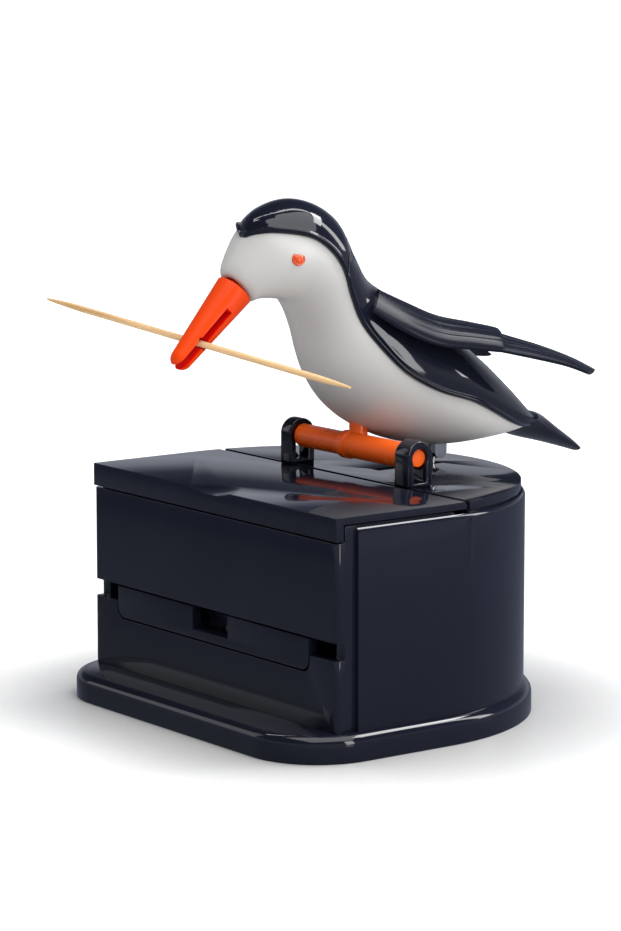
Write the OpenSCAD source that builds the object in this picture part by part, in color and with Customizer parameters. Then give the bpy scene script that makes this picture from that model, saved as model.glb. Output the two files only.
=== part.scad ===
// Toothpick dispenser: a black hopper with a hinged lid, a nodding bird on an orange axle,
// and a slide tray that the bird pushes out through a wire and a bell crank.
// Millimetres. Z is up, Y runs from the front face to the back, X is across the front.
// The origin lies on the underside, in the middle of the front face.

/* [Case] */
// Outside half width of the wrap cover, which is also the radius of the round back
case_r = 36; // [35.5:0.1:37]
// Y of the centre of the round back
back_y = 22; // [20:0.5:26]
// Height of the top face above the table
case_top = 40; // [39:0.5:44]
// Wall of the case shell
case_wall = 1.6; // [1.2:0.1:2]
// Wall of the wrap cover
wrap_wall = 1.35; // [1:0.05:1.6]
// Y at which the wrap cover starts
wrap_front = 4; // [3:0.5:6]
// Thickness of the rear deck
deck_t = 1.5; // [1.2:0.1:2]

/* [Base] */
// Thickness of the base plate
base_t = 4.6; // [3.5:0.1:6]
// How far the base stands out behind and beside the case
base_rim = 1.4; // [1:0.1:3]
// How far the base stands out in front of the case
base_front = 8.6; // [6:0.2:11]
// Radius of the two front corners of the base
base_corner_r = 13; // [8:0.5:16]
// Width of the rounding round the top edge of the base
base_round = 1.6; // [0.8:0.1:2]

/* [Lid] */
// Height of the lip in front of the lid
lip_h = 3.9; // [3:0.1:5]
// Thickness of the lid plate
lid_t = 1.2; // [1:0.05:1.4]
// Y of the lid's rear edge
seam_y = 27.2; // [26:0.2:29]
// Gap across the seam, which the lid's rear edge needs to turn
seam_gap = 0.7; // [0.6:0.05:1]
// Width of the thumb scoop
scoop_w = 12; // [8:0.5:16]
// Depth of the thumb scoop
scoop_depth = 0.9; // [0.5:0.1:1]
// Radius of the lid's hinge pins
hinge_pin_r = 0.6; // [0.5:0.05:0.7]

/* [Front slot] */
// Height of the slot's top edge
slot_top = 19.5; // [19:0.1:21]
// Height of the slot's open ends
slot_end_h = 3; // [2.8:0.1:3.5]
// Half width of the slide tray's front plate
plate_half_w = 27.9; // [25:0.1:28.5]
// Height of the tray's front plate
plate_h = 5.4; // [5:0.1:5.6]
// Width of the notch that lets the beak in
notch_w = 10.3; // [8:0.1:12]
// Depth of that notch
notch_h = 3.9; // [3:0.1:4.2]

/* [Toothpick] */
// Length of a toothpick
pick_len = 65; // [60:0.5:65.5]
// Diameter of a toothpick
pick_d = 1.3; // [1.2:0.1:2.1]
// Length of its pointed ends
pick_point = 9; // [5:0.5:12]
// Turn of the held pick away from square across the beak, in degrees
pick_turn = 18.7; // [10:0.1:20]

/* [Axle and ears] */
// Y of the axle
axle_y = 30; // [29.5:0.1:31]
// Height of the axle
axle_z = 44.8; // [44.4:0.1:46]
// Radius of the thin half of the axle
axle_r = 2.05; // [1.8:0.05:2.2]
// Radius of the thick half of the axle at its outer end
axle_thick_r = 2.2; // [2.1:0.05:2.35]
// Width of the axle's collar
collar_w = 1.7; // [1:0.1:3]
// Radius of the axle's end pins
pin_r = 1.5; // [1.2:0.05:1.6]
// Inner faces of the left and right ears, from the middle
ear_in = [14.3, 15.3]; // [13:0.1:17]
// Thickness of the left and right ears
ear_t = [2.9, 3.7]; // [2.5:0.1:4]
// Depth of an ear from front to back
ear_d = 5.4; // [5:0.1:6]

/* [Mechanism] */
// How far the head nods, in degrees
nod = 62; // [50:1:62]
// Pull wire's top pivot, behind the axle and above it
lug_at = [18, -2.5]; // [-3:0.1:19]
// Run of the pull wire from its top pivot to its bottom one
wire_run = [-3, -35]; // [-36:0.5:-2]
// Radius of the pull wire
wire_r = 0.5; // [0.4:0.05:0.6]
// Radius of the bell crank's pivot pin
crank_pin_r = 1.5; // [1.2:0.1:1.6]
// Length of the crank arm that pushes the tray
push_arm = 7.3; // [6:0.1:7.5]
// Slope of the hopper's floor, in degrees
chute_slope = 20; // [15:1:22]
// Wire radius of the return spring
spring_wire_r = 0.3; // [0.25:0.05:0.4]
// Radius of the return spring to the middle of its wire
spring_r = 2; // [1.8:0.1:2.4]
// Turns of the return spring
spring_turns = 14; // [10:1:18]

/* [Bird] */
// Wall of the white shells
shell_wall = 1.5; // [1.2:0.1:1.8]
// Thickness of the black skins
skin_t = 0.9; // [0.7:0.1:1.2]
// Radius of the beak where it meets the head
beak_r = 3.3; // [3:0.1:3.6]
// Length of the beak
beak_len = 16.8; // [15:0.2:18]
// Width of the mouth slit
mouth_w = 1.2; // [1:0.1:1.5]
// Radius of an eye
eye_r = 1.15; // [0.9:0.05:1.4]

/* [Fits] */
// Radial play of a pin in its own hole
play = 0.05; // [0.02:0.01:0.1]
// Gap between faces that move past each other
gap = 0.3; // [0.3:0.05:0.4]
// Gap between fixed pieces that slot together
seat = 0.02; // [0.01:0.01:0.05]

/* [Hidden] */
$fn = 48;

shell_r = case_r - wrap_wall - seat;
inner_r = shell_r - case_wall;
top_r = case_r - 0.7;
deck_z = case_top - deck_t;
deck_y = seam_y + seam_gap;
front_wall_top = case_top - lip_h - gap;
base_r = case_r + base_rim;
slot_ledge = slot_top - slot_end_h;
plate_top = slot_top - gap;
plate_bottom = plate_top - plate_h;
plate_t = 1.8;
groove_z = slot_ledge;
groove_w = pick_d + 2 * gap;
tray_deck_z = groove_z + 1.5;
tray_floor = plate_bottom + 0.9;
tray_back = 14;
boss_r = 3;
screw_r = 1.2;
screw_head_r = 2.4;
screw_len = 9;
boss_h = 8;
front_boss = [inner_r - 2, 10];
rear_boss_a = 45;
rear_boss = [(inner_r - 2) * cos(rear_boss_a), back_y + (inner_r - 2) * sin(rear_boss_a)];
SCREW_PLACES = [
    front_boss, [-front_boss[0], front_boss[1]], rear_boss, [-rear_boss[0], rear_boss[1]]];
hinge_y = seam_y - 2.2;
hinge_z = case_top - 1.8;
rim_z = front_wall_top + gap;
barrel_r = hinge_pin_r + 0.4;
lid_trim = 0.5;
lid_tail = norm([seam_y - hinge_y, case_top - lid_trim - hinge_z]);
lid_dip = lid_tail * 0.65;
knuckle_len = 4;
knuckle_x = inner_r - 6;
hopper_back = hinge_y - 0.8;
chute_start = plate_t + groove_w + 0.4;
chute_t = 1.4;
chute_z = tray_deck_z + gap + chute_t;
crank_y = axle_y + wire_run[0];
crank_z = axle_z + wire_run[1];
hub_r = crank_pin_r + 1.7;
crank_t = 3;
hub_half = 4.5;
push_pin_r = 1;
push_pin_y = crank_y + push_arm * sin(nod / 2);
push_pin_z = crank_z + push_arm * cos(nod / 2);
lug_pin_r = 0.6;
eye_wire_gap = 0.35;
spring_x = 12;
spring_z = tray_floor + 1.5;
spring_y = [tray_back + 3, tray_back + 24];
post_r = 1.2;
snap = 0.25;
nose = [0, 5.2, 73.2];
beak_a = 45;
pick_along = beak_len * 0.68;
pick_tilt = 16.4;
stub_r = 1.6;
stub_back = 1.4;
stub_top = 9.8;
mount_half = 5.5;
mount_y = [axle_y - 1, axle_y + 5];
mount_z = [axle_z + 6.8, axle_z + 11];
lug_t = 1.2;
lug_r = 1.3;
lug_rise = 1.6;
eye_at = [6.1, 11.8, 78.8];
eye_ball_r = 2.4;
guide_x = plate_half_w - 6;

// Sections of the bird's body from beak to tail: bottom y, z, top y, z, half width, and the angle at
// which the black skin on top of it starts
BODY = [
    [7.9, 70.2, 3.2, 76.6, 3.6, 90], [9.4, 70.9, 5.8, 80.4, 5.7, 90], [12.4, 71.4, 10.0, 84.9, 8.1, 44],
    [16.0, 70.6, 16.6, 87.1, 9.2, 17], [18.4, 67.6, 22.8, 84.8, 9.1, 5], [19.8, 63.6, 26.6, 79.0, 8.5, 1],
    [20.8, 59.6, 29.8, 74.0, 8.6, 1], [22.6, 56.0, 33.9, 71.0, 10.0, -3], [26.2, 51.6, 40.2, 67.4, 12.0, -8],
    [31.4, 47.9, 47.4, 63.3, 13.2, -6], [38.4, 45.0, 54.2, 58.2, 12.8, 4], [46.6, 43.6, 60.6, 52.8, 11.0, 6],
    [55.8, 44.1, 65.2, 48.6, 8.4, 0], [62.0, 45.4, 68.0, 46.6, 5.6, -6]];
// The tail's own sections, from the end of the body to the tip
TAIL = [
    [61.3, 45.15, 68.7, 46.65, 6.3], [65.8, 43.3, 69.8, 46.0, 5.2], [72.2, 41.6, 73.6, 43.8, 4.2],
    [77.4, 40.1, 78.1, 41.6, 2.9], [80.3, 39.2, 80.9, 40.1, 1.6]];
// Sections of a wing from shoulder to tip: inner edge x, y, z, outer edge x, y, z, and how far it
// rises above and hangs below the line between them
WING = [
    [6.2, 30.6, 72.2, 10.2, 26.6, 69.0, 0.9, 0.2], [6.6, 35.5, 69.6, 13.0, 31.0, 65.6, 1.6, 0.2],
    [7.6, 41.2, 66.9, 15.2, 36.8, 63.0, 1.8, 0.3], [8.8, 47.5, 65.3, 16.6, 43.4, 62.0, 1.8, 0.5],
    [9.8, 52.8, 64.0, 17.6, 48.3, 61.4, 1.6, 0.8], [9.9, 53.7, 63.4, 17.8, 49.2, 61.3, 0.9, 0.8],
    [11.4, 61.6, 60.7, 18.8, 57.0, 59.5, 0.9, 0.8], [12.8, 68.0, 58.1, 19.4, 62.4, 58.1, 0.8, 0.7],
    [14.2, 72.7, 55.7, 19.0, 67.0, 56.5, 0.6, 0.6]];

// Smooth curve through rows of numbers, with steps points for each stretch
function smooth_row(p, i, t) = let (
    n = len(p) - 1, a = p[max(i - 1, 0)], b = p[i], c = p[min(i + 1, n)], d = p[min(i + 2, n)])
    0.5 * (2 * b + (c - a) * t + (2 * a - 5 * b + 4 * c - d) * t * t
        + (3 * b - a - 3 * c + d) * t * t * t);
function smooth(p, steps) = concat(
    [for (i = [0:len(p) - 2]) for (k = [0:steps - 1]) smooth_row(p, i, k / steps)], [p[len(p) - 1]]);

// Point of a body section at angle a from its right side, grown by off
function body_point(s, a, off) = let (
    v = [s[2] - s[0], s[3] - s[1]] / 2, h = norm(v), u = v / h, q = (h + off) * sin(a))
    [(s[4] + off) * cos(a), (s[0] + s[2]) / 2 + u[0] * q, (s[1] + s[3]) / 2 + u[1] * q];

// Closed strip of the body's wall, from angle lo to hi of each section, from inner to outer offset
function strip_ring(s, lo, hi, inner, outer, n) = concat(
    [for (k = [0:n]) body_point(s, lo + (hi - lo) * k / n, outer)],
    [for (k = [n:-1:0]) body_point(s, lo + (hi - lo) * k / n, inner)]);

// Solid through a list of closed rings with the same number of points
module loft(rings) {
    m = len(rings[0]);
    last = len(rings) - 1;
    points = [for (r = rings) each r];
    sides = [for (i = [0:last - 1]) for (k = [0:m - 1]) let (a = i * m + k, b = i * m + (k + 1) % m)
        each [[a, b, a + m], [b, b + m, a + m]]];
    half = m / 2;
    ends = [for (k = [0:half - 2]) each [[k, m - 2 - k, k + 1], [k, m - 1 - k, m - 2 - k]]];
    caps = concat(ends, [for (f = ends) [f[2], f[1], f[0]] + last * m * [1, 1, 1]]);
    polyhedron(points, concat(sides, caps));
}

// Rounded ring of a wing between its inner and outer edge
function blade_ring(s, n) = let (
    a = [s[0], s[1], s[2]], b = [s[3], s[4], s[5]], c = (a + b) / 2, u = (b - a) / 2,
    w = cross(u, [0, 1, -0.4]), up = w / norm(w))
    [for (k = [0:n - 1]) let (t = 360 * (k + 0.5) / n, x = cos(t), y = sin(t))
        c - u * sign(x) * pow(abs(x), 0.8) + up * y * (y > 0 ? s[6] : s[7])];

// D-shaped outline: straight sides of half width r, and a round back of radius r
module d_outline(r, front) {
    intersection() {
        translate([0, back_y]) circle(r, $fn = 160);
        translate([-r, back_y]) square([2 * r, r]);
    }
    translate([-r, front]) square([2 * r, back_y - front]);
}

module d_prism(r, front, z0, z1) {
    translate([0, 0, z0]) linear_extrude(z1 - z0) d_outline(r, front);
}

module across(x0, x1, y, z, r) {
    translate([x0, y, z]) rotate([0, 90, 0]) cylinder(h = x1 - x0, r = r);
}

module box(x0, x1, y0, y1, z0, z1) {
    translate([x0, y0, z0]) cube([x1 - x0, y1 - y0, z1 - z0]);
}

module base_outline(inset) {
    r = base_r - inset;
    c = base_corner_r - inset;
    front = -base_front + inset;
    d_outline(r, front + c);
    translate([-r + c, front]) square([2 * (r - c), c + 1]);
    for (side = [-1, 1]) translate([side * (r - c), front + c]) circle(c, $fn = 96);
}

module base_plate() {
    color("#15171f") difference() {
        union() {
            linear_extrude(base_t - base_round) base_outline(0);
            for (k = [0:3]) {
                inset = base_round * (1 - cos(22.5 * (k + 1)));
                rise = base_t - base_round + base_round * sin(22.5 * k);
                translate([0, 0, rise - 0.01])
                    linear_extrude(base_round * (sin(22.5 * (k + 1)) - sin(22.5 * k)) + 0.01)
                        base_outline(inset);
            }
        }
        for (p = SCREW_PLACES) translate([p[0], p[1], 0]) {
            translate([0, 0, -1]) cylinder(h = base_t + 2, r = screw_r + play);
            translate([0, 0, -1]) cylinder(h = 1 + screw_head_r, r = screw_head_r + play);
        }
    }
}

module base_screw(i) {
    color("#9a9da3") translate([SCREW_PLACES[i][0], SCREW_PLACES[i][1], 0.4]) difference() {
        union() {
            cylinder(h = screw_head_r - 0.4, r = screw_head_r);
            cylinder(h = screw_head_r + screw_len, r = screw_r);
        }
        for (a = [0, 90]) rotate(a) translate([-1.3, -0.3, -1]) cube([2.6, 0.6, 1.8]);
    }
}

module base_screw_1() { base_screw(0); }
module base_screw_2() { base_screw(1); }
module base_screw_3() { base_screw(2); }
module base_screw_4() { base_screw(3); }

// Room in the tops of the side walls that the lid's rear edge dips into as the lid opens
module lid_turn_room() {
    r = lid_tail + gap;
    side = top_r + gap;
    intersection() {
        across(-side, side, hinge_y, hinge_z, r);
        box(-side, side, hinge_y - gap, hinge_y + r, hinge_z - lid_dip - gap, case_top);
    }
}

module case_shell() {
    color("#161822") difference() {
        union() {
            difference() {
                union() {
                    d_prism(shell_r, 1, base_t, deck_z);
                    box(-top_r, top_r, 1, wrap_front - seat, base_t, deck_z);
                    box(1 - top_r, top_r - 1, 0, 2, base_t, deck_z);
                    for (side = [-1, 1])
                        translate([side * (top_r - 1), 1, base_t]) cylinder(h = deck_z - base_t, r = 1);
                }
                d_prism(inner_r, plate_t, base_t - 1, deck_z + 1);
                box(-case_r, case_r, -1, plate_t, front_wall_top, case_top);
                box(-case_r, case_r, -1, plate_t, slot_ledge, slot_top);
                slot_half = plate_half_w + gap;
                box(-slot_half + 2, slot_half - 2, -1, plate_t + 1, plate_bottom - gap, slot_top);
                box(-slot_half, slot_half, -1, plate_t + 1, plate_bottom - gap + 2, slot_top);
                for (side = [-1, 1]) translate([side * (slot_half - 2), -1, plate_bottom - gap + 2])
                    rotate([-90, 0, 0]) cylinder(h = plate_t + 2, r = 2);
            }
            intersection() {
                d_prism(shell_r, wrap_front, base_t, base_t + boss_h);
                for (p = SCREW_PLACES) translate([p[0], p[1], base_t]) cylinder(h = boss_h, r = boss_r);
            }
        }
        for (p = SCREW_PLACES) translate([p[0], p[1], base_t - 1])
            cylinder(h = boss_h + 2, r = screw_r + seat);
        lid_turn_room();
    }
}

module wrap_cover() {
    chamfer = 1;
    color("#1b1e2a") difference() {
        union() {
            d_prism(case_r, wrap_front, base_t, deck_z - 0.2 - chamfer);
            for (k = [0:3]) d_prism(case_r - chamfer * (k + 1) / 4, wrap_front,
                deck_z - 0.2 - chamfer, deck_z - 0.2 - chamfer * (3 - k) / 4);
        }
        d_prism(shell_r + seat, wrap_front - 1, base_t - 1, deck_z + 1);
        lid_turn_room();
    }
}

module ear_tenon(side, slack) {
    i = side < 0 ? 0 : 1;
    x0 = ear_in[i] + 0.7;
    x1 = ear_in[i] + ear_t[i] - 0.7;
    lo = side < 0 ? -x1 : x0;
    hi = side < 0 ? -x0 : x1;
    box(lo - slack, hi + slack, axle_y - ear_d / 2 + 0.9 - slack, axle_y + ear_d / 2 - 0.9 + slack,
        deck_z - 1.6, case_top + 0.01);
}

module rear_deck() {
    color("#1d202c") difference() {
        union() {
            intersection() {
                d_prism(top_r, 0, deck_z, case_top);
                box(-case_r, case_r, deck_y, back_y + case_r, deck_z, case_top);
            }
            difference() {
                intersection() {
                    d_prism(inner_r - seat, 0, deck_z - 3, deck_z + 0.1);
                    box(-case_r, case_r, deck_y + 1.2, back_y + case_r, deck_z - 3, deck_z + 0.1);
                }
                d_prism(inner_r - 1.4, 0, deck_z - 4, deck_z);
            }
        }
        slot_from = axle_y + lug_at[0] * cos(nod) - 3.6;
        box(-1.3, 1.3, slot_from, axle_y + lug_at[0] + 1, deck_z - 4, case_top + 1);
        for (side = [-1, 1]) ear_tenon(side, seat);
    }
}

module ear(side) {
    i = side < 0 ? 0 : 1;
    x0 = side < 0 ? -ear_in[0] - ear_t[0] : ear_in[1];
    x1 = x0 + ear_t[i];
    color("#12141b") {
        difference() {
            union() {
                across(x0, x1, axle_y, axle_z + snap, ear_d / 2);
                box(x0, x1, axle_y - ear_d / 2, axle_y + ear_d / 2, case_top, axle_z + snap);
            }
            across(x0 - 1, x1 + 1, axle_y, axle_z, pin_r + play);
            neck = pin_r + play - snap;
            box(x0 - 1, x1 + 1, axle_y - neck, axle_y + neck, case_top + 0.6, axle_z);
        }
        ear_tenon(side, 0);
    }
}

module ear_left() { ear(-1); }
module ear_right() { ear(1); }

module hopper_chute() {
    top_y = hopper_back;
    run = top_y - chute_start;
    color("#20232e") difference() {
        union() {
            intersection() {
                union() {
                    translate([0, chute_start, chute_z]) rotate([chute_slope, 0, 0])
                        box(-inner_r, inner_r, 0, run / cos(chute_slope) + 0.4, -chute_t, 0);
                    box(-inner_r, inner_r, hopper_back, hopper_back + 1.6,
                        chute_z + run * tan(chute_slope) - 2, hinge_z - 1.6);
                }
                d_prism(inner_r - seat, plate_t, base_t, deck_z);
            }
            for (side = [-1, 1]) {
                x = side * (knuckle_x + knuckle_len / 2);
                across(x - knuckle_len / 2, x + knuckle_len / 2, hinge_y, hinge_z, barrel_r);
                box(x - knuckle_len / 2, x + knuckle_len / 2, hopper_back, hinge_y + barrel_r,
                    hinge_z - 3, hinge_z);
            }
        }
        for (side = [-1, 1]) across(side * knuckle_x - 7, side * knuckle_x + 7, hinge_y, hinge_z,
            hinge_pin_r + seat);
    }
}

module hinge_pin(side) {
    mid = side * (knuckle_x - gap / 2);
    color("#b9bcc2") across(mid - knuckle_len - 0.2, mid + knuckle_len + 0.2, hinge_y, hinge_z, hinge_pin_r);
}

module hinge_pin_left() { hinge_pin(-1); }
module hinge_pin_right() { hinge_pin(1); }

module lid() {
    under = case_top - lid_t;
    color("#1d202c") difference() {
        union() {
            intersection() {
                d_prism(top_r, 0, under, case_top);
                box(-case_r, case_r, -1, seam_y, under, case_top);
            }
            box(-top_r, top_r, 0, plate_t - gap, case_top - lip_h, case_top);
            difference() {
                box(gap - inner_r, inner_r - gap, plate_t - gap, hopper_back - 2, rim_z, under + 0.1);
                box(1.2 + gap - inner_r, inner_r - gap - 1.2, plate_t - 1, hopper_back - 3.2,
                    rim_z - 1, under);
            }
            for (side = [-1, 1]) {
                x = side * (knuckle_x - gap - knuckle_len / 2);
                across(x - knuckle_len / 2, x + knuckle_len / 2, hinge_y, hinge_z, barrel_r);
                box(x - knuckle_len / 2, x + knuckle_len / 2, hinge_y - barrel_r, hinge_y + barrel_r,
                    hinge_z, under + 0.1);
            }
        }
        for (side = [-1, 1]) {
            x = side * (knuckle_x - gap - knuckle_len / 2);
            across(x - 3, x + 3, hinge_y, hinge_z, hinge_pin_r + play);
            x2 = side * (knuckle_x + knuckle_len / 2);
            box(x2 - knuckle_len / 2 - gap, x2 + knuckle_len / 2 + gap, hopper_back - gap, seam_y + 1,
                under - 1, hinge_z + barrel_r + gap);
        }
        scoop_r = (pow(scoop_w / 2, 2) + pow(scoop_depth, 2)) / (2 * scoop_depth);
        translate([0, -0.6, case_top + scoop_r - scoop_depth]) sphere(scoop_r, $fn = 96);
        edge_cut();
    }
}

// Trims the lid's top rear edge so that it turns clear of the rear deck
module edge_cut() {
    translate([-case_r, seam_y - lid_trim, case_top]) rotate([-45, 0, 0]) cube([2 * case_r, 2, 2]);
}

module tray_guides() {
    color("#20232e") {
        for (side = [-1, 1]) box(side * guide_x - 1.5, side * guide_x + 1.5, plate_t + 0.6,
            tray_back + 4, base_t, tray_floor - gap);
        box(-guide_x - 1.5, guide_x + 1.5, tray_back - 2, tray_back + 1, base_t, base_t + 1.5);
    }
}

module pick_tray() {
    notch = notch_w / 2;
    corner = 2;
    color("#1a1d27") difference() {
        union() {
            box(-plate_half_w + corner, plate_half_w - corner, 0, plate_t, plate_bottom, plate_top);
            box(-plate_half_w, plate_half_w, 0, plate_t, plate_bottom + corner, plate_top);
            for (side = [-1, 1]) translate([side * (plate_half_w - corner), 0, plate_bottom + corner])
                rotate([-90, 0, 0]) cylinder(h = plate_t, r = corner);
            box(-plate_half_w, plate_half_w, plate_t - 0.1, plate_t + groove_w + 0.1, tray_floor, groove_z);
            box(-plate_half_w, plate_half_w, plate_t + groove_w, tray_back, tray_floor, tray_deck_z);
            for (side = [-1, 1]) box(side < 0 ? -4.2 : 2.2, side < 0 ? -2.2 : 4.2, tray_back - 1,
                push_pin_y + 2.6, crank_z + hub_r + gap + 0.5, tray_deck_z);
            translate([spring_x, tray_back + post_r, tray_floor])
                cylinder(h = tray_deck_z - tray_floor, r = post_r);
            box(spring_x - 1, spring_x + 1, tray_back - 0.5, tray_back + post_r, tray_floor, tray_deck_z);
        }
        box(-notch, notch, -1, plate_t + groove_w, plate_top - notch_h, plate_top + 1);
        box(-5, 5, push_pin_y - push_pin_r - gap, push_pin_y + push_pin_r + gap,
            push_pin_z - push_pin_r - gap, crank_z + push_arm + push_pin_r + gap);
    }
}

module arm(y, z, a, len, w0, w1, t) {
    translate([-t / 2, y, z]) rotate([a, 0, 0]) {
        hull() {
            rotate([0, 90, 0]) cylinder(h = t, r = w0, $fn = 32);
            translate([0, len, 0]) rotate([0, 90, 0]) cylinder(h = t, r = w1, $fn = 32);
        }
    }
}

module bell_crank() {
    pull_len = norm(lug_at);
    pull_a = atan2(lug_at[1], lug_at[0]);
    t = [crank_y + lug_at[0], crank_z + lug_at[1]];
    color("#2a2d38") difference() {
        union() {
            across(-hub_half, hub_half, crank_y, crank_z, hub_r);
            arm(crank_y, crank_z, 90 - nod / 2, push_arm, 2.2, 1.7, crank_t);
            arm(crank_y, crank_z, pull_a, pull_len, 2.2, 1.8, 4.2);
            across(-4, 4, push_pin_y, push_pin_z, push_pin_r);
        }
        across(-hub_half - 1, hub_half + 1, crank_y, crank_z, crank_pin_r + play);
        translate([0, t[0], t[1]]) rotate([0, 90, 0])
            translate([0, 0, -wire_r - eye_wire_gap]) cylinder(h = 2 * (wire_r + eye_wire_gap), r = 3);
    }
    color("#b9bcc2") across(-2.1, 2.1, t[0], t[1], lug_pin_r);
}

module crank_stand() {
    color("#20232e") difference() {
        union() for (side = [-1, 1]) {
            x0 = side < 0 ? -hub_half - gap - 2.2 : hub_half + gap;
            across(x0, x0 + 2.2, crank_y, crank_z, 3);
            box(x0, x0 + 2.2, crank_y - 3, crank_y + 3, base_t, crank_z);
            box(-7, 7, crank_y - 3, crank_y + 3, base_t, base_t + 1);
        }
        across(-10, 10, crank_y, crank_z, crank_pin_r + seat);
    }
}

module crank_pin() {
    half = hub_half + gap + 2.6;
    color("#b9bcc2") across(-half, half, crank_y, crank_z, crank_pin_r);
}

// Wire bent into a closed eye at each end
module wire_eye(at, inner) {
    translate(at) rotate([0, 90, 0])
        rotate_extrude() translate([inner + wire_r, 0]) circle(wire_r);
}

module pull_wire() {
    top = [0, axle_y + lug_at[0], axle_z + lug_at[1]];
    len = norm(wire_run);
    lean = atan2(wire_run[0], -wire_run[1]);
    eye_in = lug_pin_r + play;
    color("#c9ccd2") {
        wire_eye(top, eye_in);
        translate(top) rotate([lean, 0, 0]) {
            wire_eye([0, 0, -len], eye_in);
            translate([0, 0, -len + eye_in + wire_r])
                cylinder(h = len - 2 * (eye_in + wire_r), r = wire_r);
        }
    }
}

module wire_lug() {
    y = axle_y + lug_at[0];
    z = axle_z + lug_at[1];
    inner = wire_r + eye_wire_gap;
    color("#f1f0ec") for (side = [-1, 1]) {
        x0 = side < 0 ? -inner - lug_t : inner;
        difference() {
            union() {
                across(x0, x0 + lug_t, y, z, lug_r);
                box(x0, x0 + lug_t, y - lug_r, y + lug_r, z, z + lug_rise);
            }
            across(-5, 5, y, z, lug_pin_r - 0.01);
        }
    }
    color("#b9bcc2") across(-inner - lug_t, inner + lug_t, y, z, lug_pin_r);
}

module spring_post() {
    color("#20232e") {
        translate([spring_x, spring_y[1] + post_r + 0.5, base_t]) {
            cylinder(h = spring_z + 2 - base_t, r = post_r);
            cylinder(h = 3, r = post_r + 1.2);
        }
    }
}

module return_spring() {
    steps = 12;
    sides = 6;
    n = spring_turns * steps;
    pitch = (spring_y[1] - spring_y[0]) / n;
    rings = [for (i = [0:n]) let (a = 360 * i / steps, c = [cos(a), 0, sin(a)])
        [for (k = [0:sides - 1]) let (b = 360 * k / sides)
            [spring_x, spring_y[0] + pitch * i, spring_z] + c * (spring_r + spring_wire_r * cos(b))
            + [0, spring_wire_r * sin(b), 0]]];
    color("#b9bcc2") loft(rings);
}

module axle() {
    left = ear_in[0] - gap;
    right = ear_in[1] - gap;
    color("#f26418") {
        across(-left, 0, axle_y, axle_z, axle_r);
        across(0, right, axle_y, axle_z, axle_thick_r);
        across(-collar_w, 0, axle_y, axle_z, axle_thick_r + 0.25);
        across(-ear_in[0] - ear_t[0] - 0.2, -left + 0.1, axle_y, axle_z, pin_r);
        across(right - 0.1, ear_in[1] + ear_t[1] - 0.6, axle_y, axle_z, pin_r);
        translate([0, axle_y + stub_back, axle_z + 1]) cylinder(h = stub_top - 1, r = stub_r);
    }
}

// Room for the mount block, with slack round it
module mount_room(slack) {
    box(-mount_half - slack, mount_half + slack, mount_y[0] - slack, mount_y[1] + slack,
        mount_z[0] - slack, mount_z[1] + slack);
}

module bird_mount() {
    color("#dcdbd6") difference() {
        mount_room(0);
        translate([0, axle_y + stub_back, axle_z]) cylinder(h = stub_top + seat, r = stub_r + seat);
    }
}

// Pocket in the belly: the two plates of the wire lug fit it, and the wire's eye turns in it
module lug_pocket() {
    y = axle_y + lug_at[0];
    z = axle_z + lug_at[1];
    inner = wire_r + eye_wire_gap;
    eye_room = lug_pin_r + play + 2 * wire_r + gap;
    box(-inner, inner, y - eye_room, y + eye_room, z - 3, z + eye_room);
    for (side = [-1, 1]) {
        mid = side * (inner + lug_t / 2);
        half = lug_t / 2 + seat;
        box(mid - half, mid + half, y - lug_r - seat, y + lug_r + seat, z - 3, z + lug_rise + seat);
    }
}

module bird_half(side) {
    rings = [for (s = smooth(BODY, 3)) strip_ring(s, -90, 90, -shell_wall, 0, 14)];
    color("#f3f2ee") difference() {
        mirror_to(side) loft(rings);
        translate([0, axle_y + stub_back, axle_z]) cylinder(h = 8, r = stub_r + seat);
        eye_hole(side);
        mount_room(seat);
        lug_pocket();
    }
}

// Mirrors the right-hand shape for the left side
module mirror_to(side) {
    if (side < 0) mirror([1, 0, 0]) children();
    else children();
}

module eye_hole(side) {
    translate([side * (eye_at[0] - 1), eye_at[1], eye_at[2]]) rotate([0, side * 90, 0])
        cylinder(h = 8, r = eye_r + seat);
}

module bird_shell_left() { bird_half(-1); }
module bird_shell_right() { bird_half(1); }

// Ring of the black skin round the top of a section
function skin_ring(s) = strip_ring(s, s[5], 180 - s[5], 0.08, skin_t, 20);

module head_cap() {
    rows = smooth(BODY, 6);
    color("#101218") loft([for (i = [8:26]) skin_ring(rows[i])]);
}

module back_shell() {
    rows = smooth(BODY, 3);
    last = rows[len(rows) - 1];
    into_tail = [0.06, -0.3, 0.06, -0.3, 0, 0];
    rings = concat([for (i = [13:len(rows) - 1]) skin_ring(rows[i])], [skin_ring(last + into_tail)]);
    color("#101218") {
        loft(rings);
        loft([for (s = smooth(TAIL, 3)) [for (k = [0:23]) body_point(s, 15 * k, 0)]]);
    }
}

module wing(side) {
    color("#14161d") mirror_to(side) loft([for (s = smooth(WING, 3)) blade_ring(s, 16)]);
}

module wing_left() { wing(-1); }
module wing_right() { wing(1); }

module at_beak() {
    translate(nose) rotate([90 + beak_a, 0, 0]) children();
}

module pick_shape(r) {
    half = pick_len / 2;
    across(-half + pick_point, half - pick_point, 0, 0, r);
    for (side = [-1, 1]) translate([side * (half - pick_point), 0, 0]) rotate([0, side * 90, 0])
        cylinder(h = pick_point, r1 = r, r2 = 0.2);
}

// Frame of the held pick: its swivel axis is Z, and it lies along X when it is square across
module at_pick() {
    at_beak() translate([0, 0, pick_along]) rotate([pick_tilt, 0, 0]) children();
}

// Room that the held pick sweeps, as a flat bow tie
module pick_room(c, reach) {
    t = pick_turn;
    waist = c / cos(t / 2) * [sin(t / 2), cos(t / 2)];
    near = [reach * cos(t) - c * sin(t), -c * cos(t) - reach * sin(t)];
    linear_extrude(2 * c, center = true)
        polygon([[reach, c], near, -waist, [-reach, -c], -near, waist]);
}

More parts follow.
